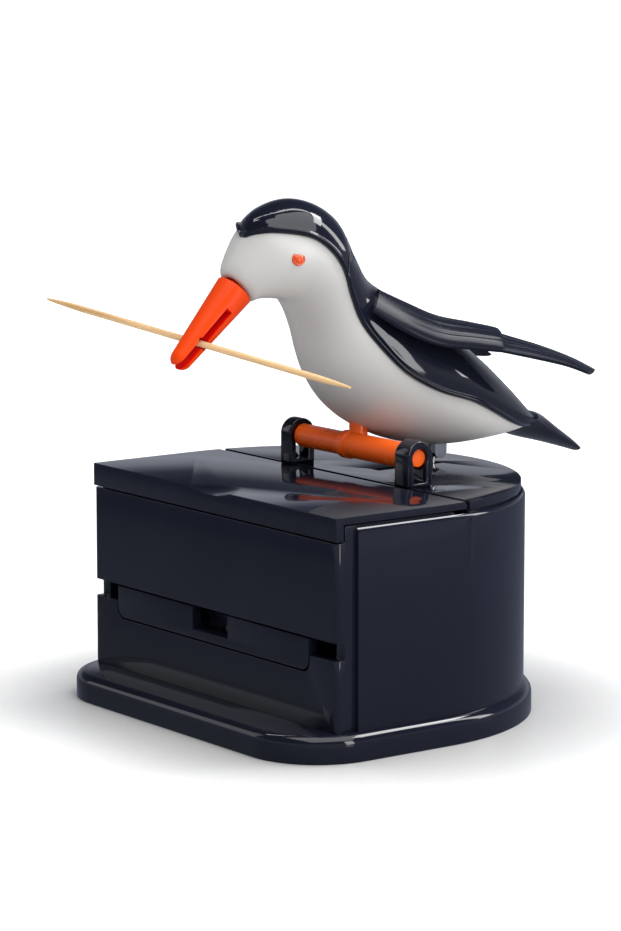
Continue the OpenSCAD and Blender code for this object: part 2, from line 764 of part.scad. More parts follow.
module beak() {
    color("#f26418") difference() {
        at_beak() {
            cylinder(h = beak_len - 1.7, r1 = beak_r, r2 = 1.9);
            translate([0, 0, beak_len - 1.7]) sphere(1.9, $fn = 48);
            translate([0, 0, -1.4]) cylinder(h = 1.5, r = beak_r - 1.6);
        }
        at_beak() box(-5, 5, -mouth_w / 2, mouth_w / 2, beak_len / 4, beak_len + 3);
        at_pick() pick_room(pick_d / 2 + 0.15, 6);
    }
}

module eye(side) {
    color("#f26418") intersection() {
        translate([side * eye_at[0], eye_at[1], eye_at[2]]) rotate([0, side * 90, 0])
            cylinder(h = 4, r = eye_r);
        translate([side * eye_at[0], eye_at[1], eye_at[2]]) sphere(eye_ball_r);
    }
}

module eye_left() { eye(-1); }
module eye_right() { eye(1); }

module held_pick() {
    color("#d9b27c") at_pick() rotate(-pick_turn) pick_shape(pick_d / 2);
}

// Loose picks on the hopper's floor, each a little above the one before it
module hopper_pick(i) {
    along = 4 + i * (pick_d + 1.2);
    color("#d9b27c") translate([0, chute_start, chute_z]) rotate([chute_slope, 0, 0])
        translate([0, along, pick_d / 2 + gap]) pick_shape(pick_d / 2);
}

module hopper_pick_1() { hopper_pick(0); }
module hopper_pick_2() { hopper_pick(1); }
module hopper_pick_3() { hopper_pick(2); }

base_plate();
base_screw_1();
base_screw_2();
base_screw_3();
base_screw_4();
case_shell();
wrap_cover();
rear_deck();
ear_left();
ear_right();
hopper_chute();
tray_guides();
hinge_pin_left();
hinge_pin_right();
crank_stand();
crank_pin();
spring_post();
return_spring();
lid();
pick_tray();
bell_crank();
pull_wire();
axle();
bird_mount();
bird_shell_left();
bird_shell_right();
head_cap();
back_shell();
wing_left();
wing_right();
beak();
eye_left();
eye_right();
wire_lug();
held_pick();
hopper_pick_1();
hopper_pick_2();
hopper_pick_3();
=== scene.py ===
"""Looks of a toothpick dispenser with a nodding bird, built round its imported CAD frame."""

import math

import bmesh
import bpy
from mathutils import Matrix, Vector


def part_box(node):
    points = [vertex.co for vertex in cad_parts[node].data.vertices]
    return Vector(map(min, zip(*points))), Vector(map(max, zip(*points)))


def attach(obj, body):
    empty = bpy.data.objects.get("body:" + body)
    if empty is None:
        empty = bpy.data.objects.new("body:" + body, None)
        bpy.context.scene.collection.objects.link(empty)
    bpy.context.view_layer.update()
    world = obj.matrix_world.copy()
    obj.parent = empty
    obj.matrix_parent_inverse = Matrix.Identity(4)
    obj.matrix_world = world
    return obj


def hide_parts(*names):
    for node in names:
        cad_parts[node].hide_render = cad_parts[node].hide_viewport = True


bl_info = {
    "name": "Toothpick Dispenser Looks",
    "version": (1, 0, 0),
    "blender": (4, 5, 0),
    "location": "View3D > Sidebar > Dispenser",
    "description": "Builds the pieces, finishes and studio of a toothpick dispenser",
    "category": "Object",
}

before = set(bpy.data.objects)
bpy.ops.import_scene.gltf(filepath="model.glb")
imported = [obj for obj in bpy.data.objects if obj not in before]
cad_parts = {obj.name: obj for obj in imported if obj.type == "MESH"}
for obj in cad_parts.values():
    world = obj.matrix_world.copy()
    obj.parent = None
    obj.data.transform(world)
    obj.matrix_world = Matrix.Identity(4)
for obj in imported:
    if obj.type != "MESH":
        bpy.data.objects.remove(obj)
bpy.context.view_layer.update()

MM = 0.001

# ---------------------------------------------------------------- the bird, in mm

# Sections of the bird's body from beak to tail: bottom y, z, top y, z, half width, and the angle at
# which the black on top of it starts
BODY = [
    (7.7, 70.9, 3.2, 76.6, 3.6, 90), (9.3, 71.5, 5.8, 80.4, 5.7, 90),
    (12.4, 71.4, 10.0, 84.9, 8.1, 44), (16.0, 70.6, 16.6, 87.1, 9.2, 17),
    (18.4, 67.6, 22.8, 84.8, 9.1, 5), (19.8, 63.6, 26.6, 79.0, 8.5, 1),
    (20.8, 59.6, 29.8, 74.0, 8.6, 1), (22.6, 56.0, 33.9, 71.0, 10.0, -3),
    (26.2, 51.6, 40.2, 67.4, 12.0, -8), (31.4, 47.9, 47.4, 63.3, 13.2, -6),
    (38.4, 45.0, 54.2, 58.2, 12.8, 4), (46.6, 43.6, 60.6, 52.8, 11.0, 6),
    (55.8, 44.1, 65.2, 48.6, 8.4, 0), (62.0, 45.4, 68.0, 46.6, 5.6, -6)]
# The tail's own sections, from the end of the body to the tip
TAIL = [
    (61.3, 45.15, 69.2, 47.5, 6.3), (65.8, 43.3, 71.0, 46.9, 5.2), (72.2, 41.6, 74.4, 44.5, 4.2),
    (77.4, 40.1, 78.3, 41.9, 2.9), (80.3, 39.2, 80.9, 40.1, 1.6)]
# Sections of a wing from shoulder to tip: inner edge x, y, z, outer edge x, y, z, rise and hang
WING = [
    (6.2, 30.6, 72.2, 10.2, 26.6, 69.0, 0.9, 0.2), (6.6, 35.5, 69.6, 13.0, 31.0, 65.6, 1.6, 0.2),
    (7.6, 41.2, 66.9, 15.2, 36.8, 63.0, 1.8, 0.3), (8.8, 47.5, 65.3, 16.6, 43.4, 62.0, 1.8, 0.5),
    (9.8, 52.8, 64.0, 17.6, 48.3, 61.4, 1.6, 0.8), (9.9, 53.7, 63.4, 17.8, 49.2, 61.3, 0.9, 0.8),
    (11.4, 61.6, 60.7, 18.8, 57.0, 59.5, 0.9, 0.8), (12.8, 68.0, 58.1, 19.4, 62.4, 58.1, 0.8, 0.7),
    (14.2, 72.7, 55.7, 19.0, 67.0, 56.5, 0.6, 0.6)]
# Slices made from one section to the next
BODY_SLICES, WING_SLICES = 8, 10

# White shells: half of the gap between them, points round each, and how deep the throat is drawn in
# at the beak, over how many slices
SHELL_GAP, SHELL_POINTS = 0.01, 30
THROAT_DEPTH, THROAT_SLICES = 0.75, 4

# Places along the body, counted in its sections: where the cap starts and ends, the gap from there
# to the back, and where the back ends
CAP_START, CAP_END, CAP_GAP, BACK_END = 4 / 3, 13 / 3, 0.02, 13.0
# Height of the black skins over the body at a distance from their edge: a bead, a groove, a panel
BEAD = [(0.0, 0.30), (0.12, 0.70), (0.32, 0.96), (0.55, 1.0), (0.78, 0.82), (0.98, 0.52),
        (1.2, 0.44), (1.6, 0.50), (2.4, 0.62), (3.4, 0.76), (4.6, 0.88), (6.0, 0.90)]
# Half width of a skin below which its bead is drawn finer, the least half width, and the share of it
# that the bead may take
BEAD_ROOM, SKIN_LEAST, BEAD_SHARE = 3.2, 0.2, 0.95
# Height of a skin's inside over the body, its least thickness, and points from edge to middle
SKIN_INSIDE, SKIN_THIN, SKIN_POINTS = 0.08, 0.05, 24
# Share of the bead's height that the skins have, what is left of it at their very ends, how much
# closer the slices lie at the start, and the angle at which the cap's front end starts
SKIN_LIFT, SKIN_END_LIFT, SKIN_CROWD, NOSE_ANGLE = 0.98, 0.1, 1.3, 84

# Points round a wing, how square its edges are, and the way it runs
WING_POINTS, WING_SQUARE, WING_RUN = 128, 0.8, (0, 1, -0.4)
# Places of the feather grooves across a wing, from its outer edge at -1 to its inner edge at 1, their
# half width on the same scale, their depth, and the slices at which they start and are full
GROOVES = (-0.5, -0.05, 0.45)
GROOVE_HALF, GROOVE_DEPTH, GROOVE_START, GROOVE_FULL = 0.055, 0.15, 8, 18

# The beak: middle of its base and its two directions; then half the height of its slit, how far past
# the slit the painted deep red shade is full and has faded out, and where the slit opens along the
# beak
BEAK_BASE = (0.0, 5.2, 73.2)
BEAK_ALONG = (0.0, -0.70711, -0.70711)
BEAK_UP = (0.0, -0.70711, 0.70711)
MOUTH_HALF, MOUTH_SHADE_FULL, MOUTH_SHADE_FADE, MOUTH_START = 0.6, 0.02, 0.12, 4.1

# Middle of an eye's seat, the way it faces, and its outline: distance from the middle and rise
EYE_AT = (8.3, 12.4, 78.7)
EYE_OUT = (0.93, -0.22, 0.30)
EYE_PROFILE = [(1.16, -1.4), (1.16, 0.20), (1.14, 0.32), (1.06, 0.38), (0.98, 0.36), (0.92, 0.28),
               (0.86, 0.28), (0.80, 0.36), (0.66, 0.46), (0.48, 0.54), (0.28, 0.59), (0.02, 0.61)]
# Points round an eye and round the tail
ROUND_POINTS = 40

# The held toothpick: its middle, the axis it is turned about, and the turn in degrees
PICK_AT = (0.0, -2.878, 65.122)
PICK_AXIS = (0.0, -0.4787, -0.8780)
PICK_TURN = 18.7
# Any toothpick: length and end radius of its points, slices in a point and in the straight part,
# sides of its round, and how uneven it is
PICK_POINT, PICK_TIP, POINT_SLICES, PICK_SLICES = 9.0, 0.16, 12, 24
PICK_SIDES, PICK_UNEVEN = 20, 0.02
# Step from one toothpick's stretch of grain to the next one's, in metres
GRAIN_STEP = 0.07

# ---------------------------------------------------------------- the case, in mm

# Outlines seen from above: half width, front y, and radius of the front corners, 0 for open sides;
# the back is a half round about BACK_Y
BACK_Y = 22
BASE_OUTLINE = (37.4, -8.6, 13)
WRAP_OUTLINE = (36, 4, 0.0)
BASE_TOP, BASE_ROUND = 4.6, 1.6
WRAP_TOP, WRAP_ROUND = 38.3, 1.0
# A rim's steps in a quarter turn, rows across it, and its greatest height over the solid
RIM_STEPS, RIM_ROWS, RIM_RISE = 40, 10, 0.012

# ---------------------------------------------------------------- moulded edges

# Rounding in metres, for the pieces that don't have the shared one of ShapeSettings
EDGE = {
    "wrap_cover": 0.00012, "rear_deck": 0.00025, "pick_tray": 0.0002, "ear_left": 0.00035,
    "ear_right": 0.00035, "hopper_chute": 0.00025, "tray_guides": 0.00025,
    "crank_stand": 0.00025, "spring_post": 0.00025, "bell_crank": 0.0002, "beak": 0.00015,
    "tail": 0.0004}
# Angles in degrees: least turn between faces for a rounded edge, and most that counts as flat
EDGE_ANGLE, FLAT_ANGLE = 32.0, 0.6

# ---------------------------------------------------------------- finishes and studio

# Noise scales: plastic's colour drift, gloss and ripple; wood's grain and flecks; steel's streaks
DRIFT_SCALE, GLOSS_SCALE, RIPPLE_SCALE = 55.0, 420.0, 110.0
GRAIN_SCALE, FLECK_SCALE, STREAK_SCALE = 900.0, 2600.0, 3000.0

# Floor: radius, how far it lies under the object, and sides of its disc; then its grey, its glow
# near the object, and the distances from the middle between which that rises to full white
FLOOR_RADIUS, FLOOR_DROP, FLOOR_SIDES = 14.0, 0.00002, 96
FLOOR_GREY, FLOOR_GLOW, FLOOR_NEAR, FLOOR_FAR = 0.40, 0.64, 0.12, 0.45
# Reach and depth of the shadow close to the object
SHADOW_REACH, SHADOW_DEPTH = 0.034, 4.5
# Colours of the floor that gloss sees, FLOOR_SIDE metres from the middle towards -X and towards +X
FLOOR_SIDE, FLOOR_SEEN = 0.4, ((0.0, (0.055, 0.068, 0.10)), (1.0, (0.26, 0.28, 0.34)))
# Colours of the world that gloss sees, from the horizon at 0 to straight up at 1
SKY_SEEN = ((0.0, (0.36, 0.38, 0.44)), (0.16, (0.34, 0.36, 0.42)), (0.30, (0.08, 0.09, 0.12)),
            (0.55, (0.02, 0.022, 0.03)), (1.0, (0.02, 0.022, 0.03)))
# Colour and strength of the world's own light
AMBIENT, AMBIENT_POWER = (0.95, 0.97, 1.0, 1.0), 0.17
WHITE = (1.0, 1.0, 1.0, 1.0)
# Lamps: name, place, size and power; all of them face LAMP_TARGET
LAMP_TARGET = (0.0, 0.025, 0.05)
LAMPS = (
    ("top_light", (0.28, -0.04, 0.80), (0.95, 0.95), 8.0),
    ("strip_light", (0.13, 0.47, 0.65), (0.50, 0.18), 3.6),
    ("rim_light", (-0.24, 0.19, 0.72), (1.1, 0.06), 1.4),
    ("left_light", (-0.62, -0.42, 0.34), (0.22, 0.45), 0.3),
    ("back_light", (0.30, 0.66, 0.42), (0.16, 0.50), 2.0),
    ("right_light", (0.80, 0.16, 0.22), (0.18, 0.50), 2.0))
# Camera: place, degrees that it looks down and is turned round, sensor and lens in mm, near and far
CAMERA_AT = (0.4875, -0.3412, 0.1401)
CAMERA_DOWN, CAMERA_ROUND = 9.17, 53.38
CAMERA_SENSOR, CAMERA_LENS = 36.0, 139.2
CAMERA_NEAR, CAMERA_FAR = 0.01, 50.0


# ---------------------------------------------------------------- properties

class FinishSettings(bpy.types.PropertyGroup):
    """Colours and gloss of the dispenser's materials."""

    black: bpy.props.FloatVectorProperty(
        name="Black", description="Colour of the gloss black plastic", subtype="COLOR", size=4,
        min=0.0, max=1.0, default=(0.0075, 0.0088, 0.0165, 1.0))
    inner: bpy.props.FloatVectorProperty(
        name="Inner", description="Colour of the satin plastic inside the case", subtype="COLOR",
        size=4, min=0.0, max=1.0, default=(0.02, 0.022, 0.028, 1.0))
    orange: bpy.props.FloatVectorProperty(
        name="Orange", description="Colour of the beak", subtype="COLOR", size=4,
        min=0.0, max=1.0, default=(0.76, 0.052, 0.001, 1.0))
    # Painted light in part: brighter than the beak's orange to make up for the axle being lit less,
    # and yellower as its own tone
    axle: bpy.props.FloatVectorProperty(
        name="Axle", description="Colour of the axle", subtype="COLOR", size=4,
        min=0.0, max=1.0, default=(0.98, 0.130, 0.008, 1.0))
    eye: bpy.props.FloatVectorProperty(
        name="Eye", description="Colour of the eyes", subtype="COLOR", size=4,
        min=0.0, max=1.0, default=(0.62, 0.075, 0.012, 1.0))
    # Painted shade: deep red along the beak's slit stands for the orange plastic in shade between its
    # halves
    slit_shade: bpy.props.FloatVectorProperty(
        name="Mouth", description="Deep red inside the beak's slit", subtype="COLOR", size=4,
        min=0.0, max=1.0, default=(0.80, 0.008, 0.003, 1.0))
    white: bpy.props.FloatVectorProperty(
        name="White", description="Colour of the bird's white shells", subtype="COLOR", size=4,
        min=0.0, max=1.0, default=(0.53, 0.523, 0.51, 1.0))
    wood: bpy.props.FloatVectorProperty(
        name="Wood", description="Pale colour of the toothpicks", subtype="COLOR", size=4,
        min=0.0, max=1.0, default=(0.84, 0.58, 0.32, 1.0))
    wood_dark: bpy.props.FloatVectorProperty(
        name="Wood grain", description="Colour of the grain lines in the toothpicks",
        subtype="COLOR", size=4, min=0.0, max=1.0, default=(0.50, 0.29, 0.12, 1.0))
    steel: bpy.props.FloatVectorProperty(
        name="Steel", description="Colour of the wire, screws and pins", subtype="COLOR", size=4,
        min=0.0, max=1.0, default=(0.62, 0.63, 0.65, 1.0))
    black_roughness: bpy.props.FloatProperty(
        name="Black roughness", description="Roughness of the gloss black plastic",
        subtype="FACTOR", min=0.0, max=1.0, default=0.07)


class ShapeSettings(bpy.types.PropertyGroup):
    """Sizes that the pieces share."""

    edge: bpy.props.FloatProperty(
        name="Edge radius", description="Rounding of the moulded edges of the larger pieces",
        subtype="DISTANCE", unit="LENGTH", min=0.00005, max=0.002, default=0.0003)
    shell_wall: bpy.props.FloatProperty(
        name="Shell wall", description="Wall of the bird's white shells", subtype="DISTANCE",
        unit="LENGTH", min=0.0005, max=0.003, default=0.0015)
    pick_length: bpy.props.FloatProperty(
        name="Pick length", description="Length of a toothpick", subtype="DISTANCE",
        unit="LENGTH", min=0.05, max=0.066, default=0.065)
    pick_radius: bpy.props.FloatProperty(
        name="Pick radius", description="Radius of a toothpick", subtype="DISTANCE",
        unit="LENGTH", min=0.0005, max=0.0011, default=0.00056)


# ---------------------------------------------------------------- material helpers

def new_material(name):
    """A material, its node tree and its shader."""
    mat = bpy.data.materials.new(name)
    mat.use_nodes = True
    return mat, mat.node_tree, mat.node_tree.nodes["Principled BSDF"]


def set_inputs(node, values):
    """Sets a node's own input values, by the input's name or number."""
    for key, value in values.items():
        node.inputs[key].default_value = value


def add_node(tree, kind, values=None, **settings):
    """A node with the given settings and input values."""
    node = tree.nodes.new(kind)
    for key, value in settings.items():
        setattr(node, key, value)
    set_inputs(node, values or {})
    return node


def add_noise(tree, place, scale, detail, stretch=None):
    """Noise from 0 to 1 at a place on the piece, drawn out where stretch is small."""
    noise = add_node(tree, "ShaderNodeTexNoise", {"Scale": scale, "Detail": detail})
    if stretch:
        mapping = add_node(tree, "ShaderNodeMapping", {"Scale": stretch})
        tree.links.new(place, mapping.inputs["Vector"])
        place = mapping.outputs["Vector"]
    tree.links.new(place, noise.inputs["Vector"])
    return noise.outputs["Fac"]


def add_range(tree, source, low, high, start=0.0, end=1.0):
    """Value that goes from low to high as source goes from start to end."""
    spread = add_node(tree, "ShaderNodeMapRange", {
        "From Min": start, "From Max": end, "To Min": low, "To Max": high})
    tree.links.new(source, spread.inputs["Value"])
    return spread.outputs["Result"]


def add_math(tree, operation, *values):
    """Result of one operation on sockets and plain numbers."""
    node = add_node(tree, "ShaderNodeMath", operation=operation)
    for socket, value in zip(node.inputs, values):
        if isinstance(value, float):
            socket.default_value = value
        else:
            tree.links.new(value, socket)
    return node.outputs[0]


def add_ramp(tree, source, stops):
    """Colour that passes through the given places and colours as source rises."""
    ramp = tree.nodes.new("ShaderNodeValToRGB")
    elements = ramp.color_ramp.elements
    for index in (0, -1):
        elements[index].position = stops[index][0]
        elements[index].color = tuple(stops[index][1]) + (1.0,)
    for place, colour in stops[1:-1]:
        elements.new(place).color = tuple(colour) + (1.0,)
    tree.links.new(source, ramp.inputs["Fac"])
    return ramp.outputs["Color"]


def add_bump(tree, shader, height, distance):
    """Relief in the surface, as deep as distance in metres."""
    bump = add_node(tree, "ShaderNodeBump", {"Distance": distance})
    tree.links.new(height, bump.inputs["Height"])
    tree.links.new(bump.outputs["Normal"], shader.inputs["Normal"])


def mix_shaders(tree, factor, first, second):
    """The first shader where factor is 0, the second where it is 1."""
    mix = tree.nodes.new("ShaderNodeMixShader")
    for socket, source in zip(mix.inputs, (factor, first, second)):
        tree.links.new(source, socket)
    return mix.outputs[0]


def tinted(tree, source, colour, amount):
    """Colour that drifts a little round the given one with the source's value."""
    low = [c * (1.0 - amount) for c in colour[:3]]
    high = [min(1.0, c * (1.0 + amount)) for c in colour[:3]]
    return add_ramp(tree, source, ((0.3, low), (0.7, high)))


# ---------------------------------------------------------------- finishes

def plastic(name, colour, roughness, wave, drift, speckle, subsurface=0.0, specular=0.5):
    """Moulded plastic: slow colour drift, uneven gloss and a faint ripple in the surface."""
    mat, tree, shader = new_material(name)
    place = tree.nodes.new("ShaderNodeTexCoord").outputs["Object"]
    hue = add_noise(tree, place, DRIFT_SCALE, 3.0)
    tree.links.new(tinted(tree, hue, colour, drift), shader.inputs["Base Color"])
    gloss = add_noise(tree, place, GLOSS_SCALE, 4.0)
    rough = add_range(tree, gloss, max(0.0, roughness - speckle), roughness + speckle)
    tree.links.new(rough, shader.inputs["Roughness"])
    ripple = add_noise(tree, place, RIPPLE_SCALE, 2.0)
    add_bump(tree, shader, ripple, wave)
    set_inputs(shader, {"Specular IOR Level": specular})
    if subsurface:
        set_inputs(shader, {"Subsurface Weight": subsurface, "Subsurface Scale": 0.5,
                            "Subsurface Radius": (0.004, 0.003, 0.0025)})
    return mat


def wood_finish(name, pale, dark):
    """Birch: long grain lines along the pick, darker flecks, and fibres in the surface."""
    mat, tree, shader = new_material(name)
    place = add_node(tree, "ShaderNodeAttribute", attribute_name="grain").outputs["Vector"]
    grain = add_noise(tree, place, GRAIN_SCALE, 6.0, (0.035, 1.0, 1.0))
    base = add_ramp(tree, grain, ((0.30, dark[:3]), (0.58, pale[:3])))
    fleck = add_noise(tree, place, FLECK_SCALE, 2.0, (0.012, 1.0, 1.0))
    flecked = add_node(tree, "ShaderNodeMix", data_type="RGBA", blend_type="MULTIPLY")
    tree.links.new(add_range(tree, fleck, 0.0, 0.5), flecked.inputs["Factor"])
    tree.links.new(base, flecked.inputs["A"])
    set_inputs(flecked, {"B": (0.78, 0.62, 0.44, 1.0)})
    tree.links.new(flecked.outputs["Result"], shader.inputs["Base Color"])
    set_inputs(shader, {"Roughness": 0.62, "Specular IOR Level": 0.3})
    add_bump(tree, shader, grain, 0.00006)
    return mat


def steel_finish(name, colour):
    """Drawn steel: fine streaks along the part and a little unevenness in the gloss."""
    mat, tree, shader = new_material(name)
    place = tree.nodes.new("ShaderNodeTexCoord").outputs["Object"]
    streak = add_noise(tree, place, STREAK_SCALE, 3.0, (1.0, 1.0, 0.04))
    tree.links.new(tinted(tree, streak, colour, 0.12), shader.inputs["Base Color"])
    tree.links.new(add_range(tree, streak, 0.16, 0.34), shader.inputs["Roughness"])
    set_inputs(shader, {"Metallic": 1.0})
    add_bump(tree, shader, streak, 0.000004)
    return mat


def orange_finish(name, colour, slit_shade):
    """Orange plastic, with deep red painted shade in the slit between the beak's halves."""
    mat = plastic(name, colour, roughness=0.34, wave=0.00001, drift=0.05, speckle=0.05,
                  specular=0.16)
    tree = mat.node_tree
    surface = tree.nodes["Principled BSDF"].inputs["Base Color"]
    place = tree.nodes.new("ShaderNodeTexCoord").outputs["Object"]
    offset = add_node(tree, "ShaderNodeVectorMath", {1: [c * MM for c in BEAK_BASE]},
                      operation="SUBTRACT")
    tree.links.new(place, offset.inputs[0])
    across, along = [add_node(tree, "ShaderNodeVectorMath", {1: way}, operation="DOT_PRODUCT")
                     for way in (BEAK_UP, BEAK_ALONG)]
    for measure in (across, along):
        tree.links.new(offset.outputs["Vector"], measure.inputs[0])
    # Painted shade: the deep red is mixed over the orange close to the slit, where the beak opens
    from_slit = add_math(tree, "ABSOLUTE", across.outputs["Value"])
    inside = add_range(tree, from_slit, 0.0, 1.0, (MOUTH_HALF + MOUTH_SHADE_FADE) * MM,
                       (MOUTH_HALF + MOUTH_SHADE_FULL) * MM)
    open_part = add_math(tree, "GREATER_THAN", along.outputs["Value"], MOUTH_START * MM)
    mix = add_node(tree, "ShaderNodeMix", data_type="RGBA")
    tree.links.new(add_math(tree, "MULTIPLY", inside, open_part), mix.inputs["Factor"])
    tree.links.new(surface.links[0].from_socket, mix.inputs["A"])
    set_inputs(mix, {"B": slit_shade})
    tree.links.new(mix.outputs["Result"], surface)
    return mat


def finishes():
    """The dispenser's materials, made once."""
    held = bpy.data.materials
    if "gloss_black" not in held:
        look = bpy.context.scene.dispenser_finish
        plastic("gloss_black", look.black, roughness=look.black_roughness, wave=0.000006,
                drift=0.10, speckle=0.02, specular=0.45)
        plastic("wing_black", look.black, roughness=0.26, wave=0.00001, drift=0.12,
                speckle=0.06, specular=0.10)
        plastic("satin_inner", look.inner, roughness=0.42, wave=0.00002, drift=0.12,
                speckle=0.06)
        orange_finish("orange_beak", look.orange, look.slit_shade)
        plastic("orange_eye", look.eye, roughness=0.22, wave=0.000004, drift=0.06,
                speckle=0.05, subsurface=0.05)
        # The axle's orange: its own yellower tone, raised as painted light because the axle gets less
        # light
        plastic("orange_axle", look.axle, roughness=0.26, wave=0.00001, drift=0.05,
                speckle=0.05, specular=0.35)
        plastic("white_shell", look.white, roughness=0.38, wave=0.000008, drift=0.015,
                speckle=0.05, subsurface=0.08)
        wood_finish("birch_pick", look.wood, look.wood_dark)
        steel_finish("drawn_steel", look.steel)
    return held


# ---------------------------------------------------------------- shape helpers

def smooth_at(rows, s):
    """The smooth curve through rows at s, counted in rows."""
    last = len(rows) - 1
    i = min(int(s), last - 1)
    t = s - i
    four = (rows[max(i - 1, 0)], rows[i], rows[i + 1], rows[min(i + 2, last)])
    return [0.5 * (2 * b + (c - a) * t + (2 * a - 5 * b + 4 * c - d) * t * t
                   + (3 * b - a - 3 * c + d) * t ** 3) for a, b, c, d in zip(*four)]


def smooth_all(rows, slices):
    """The smooth curve through rows, in equal slices from one row to the next."""
    count = (len(rows) - 1) * slices
    return [smooth_at(rows, k / slices) for k in range(count + 1)]


def body_point(row, angle, grow):
    """Point of a body section, in mm, at an angle from its right side."""
    up = Vector((row[2] - row[0], row[3] - row[1])) / 2
    half = up.length
    q = (half + grow) * math.sin(angle) / half
    return Vector(((row[4] + grow) * math.cos(angle),
                   (row[0] + row[2]) / 2 + up.x * q, (row[1] + row[3]) / 2 + up.y * q))


def put_in_scene(name, data):
    """An object in the scene that holds a mesh, a lamp or a camera."""
    obj = bpy.data.objects.new(name, data)
    bpy.context.scene.collection.objects.link(obj)
    return obj


def mesh_object(name, bm):
    """An object in the scene with the mesh that bm holds."""
    mesh = bpy.data.meshes.new(name)
    bm.to_mesh(mesh)
    bm.free()
    return put_in_scene(name, mesh)


def grid_solid(name, rings, loop=False):
    """Closed mesh through a list of closed rings of points in mm, capped or joined in a loop."""
    bm = bmesh.new()
    rows = [[bm.verts.new(p * MM) for p in ring] for ring in rings]
    count = len(rows[0])
    for low, high in zip(rows, rows[1:] + (rows[:1] if loop else [])):
        for k in range(count):
            n = (k + 1) % count
            bm.faces.new((low[k], low[n], high[n], high[k]))
    if not loop:
        for ring in (rows[0][::-1], rows[-1]):
            for k in range(count // 2 - 1):
                bm.faces.new((ring[k], ring[k + 1], ring[count - 2 - k], ring[count - 1 - k]))
    bmesh.ops.recalc_face_normals(bm, faces=bm.faces)
    return mesh_object(name, bm)


def bake_bevel(obj, width, segments, angle=EDGE_ANGLE):
    """Rounds the edges that turn by more than an angle in degrees, in the mesh itself."""
    bevel = obj.modifiers.new("edge", "BEVEL")
    bevel.width = width
    bevel.segments = segments
    bevel.limit_method = "ANGLE"
    bevel.angle_limit = math.radians(angle)
    bevel.miter_outer = "MITER_ARC"
    graph = bpy.context.evaluated_depsgraph_get()
    mesh = bpy.data.meshes.new_from_object(obj.evaluated_get(graph))
    obj.modifiers.clear()
    sharp = obj.data
    obj.data = mesh
    bpy.data.meshes.remove(sharp)


def shade(obj, angle):
    """Smooth shading, apart from the edges that turn by more than an angle in degrees."""
    for face in obj.data.polygons:
        face.use_smooth = True
    obj.data.set_sharp_from_angle(angle=math.radians(angle))


def dress(obj, body, finish, *nodes):
    """Gives a piece its material and its body, and hides the CAD nodes that it stands for."""
    obj.data.materials.clear()
    obj.data.materials.append(finishes()[finish])
    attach(obj, body)
    if nodes:
        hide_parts(*nodes)


def soften(node, body, finish, segments=3):
    """The moulded form of a CAD node: flat faces joined up, and every hard edge rounded."""
    bm = bmesh.new()
    bm.from_mesh(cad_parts[node].data)
    bmesh.ops.remove_doubles(bm, verts=bm.verts, dist=1e-6)
    bmesh.ops.dissolve_limit(bm, angle_limit=math.radians(FLAT_ANGLE), verts=bm.verts,
                             edges=bm.edges, delimit=set())
    obj = mesh_object(node + "_form", bm)
    bake_bevel(obj, EDGE.get(node, bpy.context.scene.dispenser_shape.edge), segments)
    shade(obj, 40)
    dress(obj, body, finish, node)


def finish_nodes(finish, *nodes):
    """Gives CAD nodes that stay in view their own material."""
    for node in nodes:
        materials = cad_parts[node].data.materials
        materials.clear()
        materials.append(finishes()[finish])


def arc(x, y, radius, start, turns):
    """Points round a centre, over quarter turns from a start angle in degrees."""
    angles = [math.radians(start + 90 * k / RIM_STEPS) for k in range(turns * RIM_STEPS + 1)]
    return [(x + radius * math.cos(a), y + radius * math.sin(a)) for a in angles]


def outline(half, front, corner):
    """Outline with a round back, from the right front to the left, with round corners if any."""
    back = arc(0.0, BACK_Y, half, 0, 2)
    if not corner:
        return [(half, front)] + back + [(-half, front)]
    right = arc(half - corner, front + corner, corner, -90, 1)
    left = arc(corner - half, front + corner, corner, 180, 1)
    return right + back + left


def rounded_rim(name, shape, top, radius, last, depth, loop):
    """Smooth band, depth mm thick, over the rounded upper edge of an outline in the case.

    It starts upright and flush with the side, and ends when it has turned last degrees.
    """
    half, front, corner = shape
    middle = top - radius
    outer, inner = [], []
    for k in range(RIM_ROWS + 1):
        a = math.radians(last * k / RIM_ROWS)
        grow = RIM_RISE * math.sin(a)
        outer.append((radius - (radius + grow) * math.cos(a) + grow * math.cos(a) ** 3,
                      middle + (radius + grow) * math.sin(a)))
        inner.append((radius - (radius - depth) * math.cos(a),
                      middle + (radius - depth) * math.sin(a)))
    profile = outer + inner[::-1]
    if corner:
        paths = [outline(half - inset, front + inset, corner - inset) for inset, _ in profile]
    else:
        paths = [outline(half - inset, front, 0.0) for inset, _ in profile]
    rings = [[Vector((x, y, z)) for (x, y), (_, z) in zip(ring, profile)] for ring in zip(*paths)]
    obj = grid_solid(name, rings, loop)
    bm = bmesh.new()
    bm.from_mesh(obj.data)
    bmesh.ops.remove_doubles(bm, verts=bm.verts, dist=1e-7)
    bm.to_mesh(obj.data)
    bm.free()
    shade(obj, 50)
    dress(obj, "case", "gloss_black")


# ---------------------------------------------------------------- the case's pieces

class DISPENSER_OT_case(bpy.types.Operator):
    """Base plate, case, wrap cover and rear deck, with two rims and the screws"""
    bl_idname = "dispenser.case"
    bl_label = "Case"

    def execute(self, context):
        for node in ("base_plate", "case_shell", "wrap_cover", "rear_deck"):
            soften(node, "case", "gloss_black")
        rounded_rim("base_rim", BASE_OUTLINE, BASE_TOP, BASE_ROUND, last=90, depth=0.3, loop=True)
        rounded_rim("wrap_rim", WRAP_OUTLINE, WRAP_TOP, WRAP_ROUND, last=55, depth=0.1, loop=False)
        finish_nodes("drawn_steel", "base_screw_1", "base_screw_2", "base_screw_3",
                     "base_screw_4")
        return {"FINISHED"}


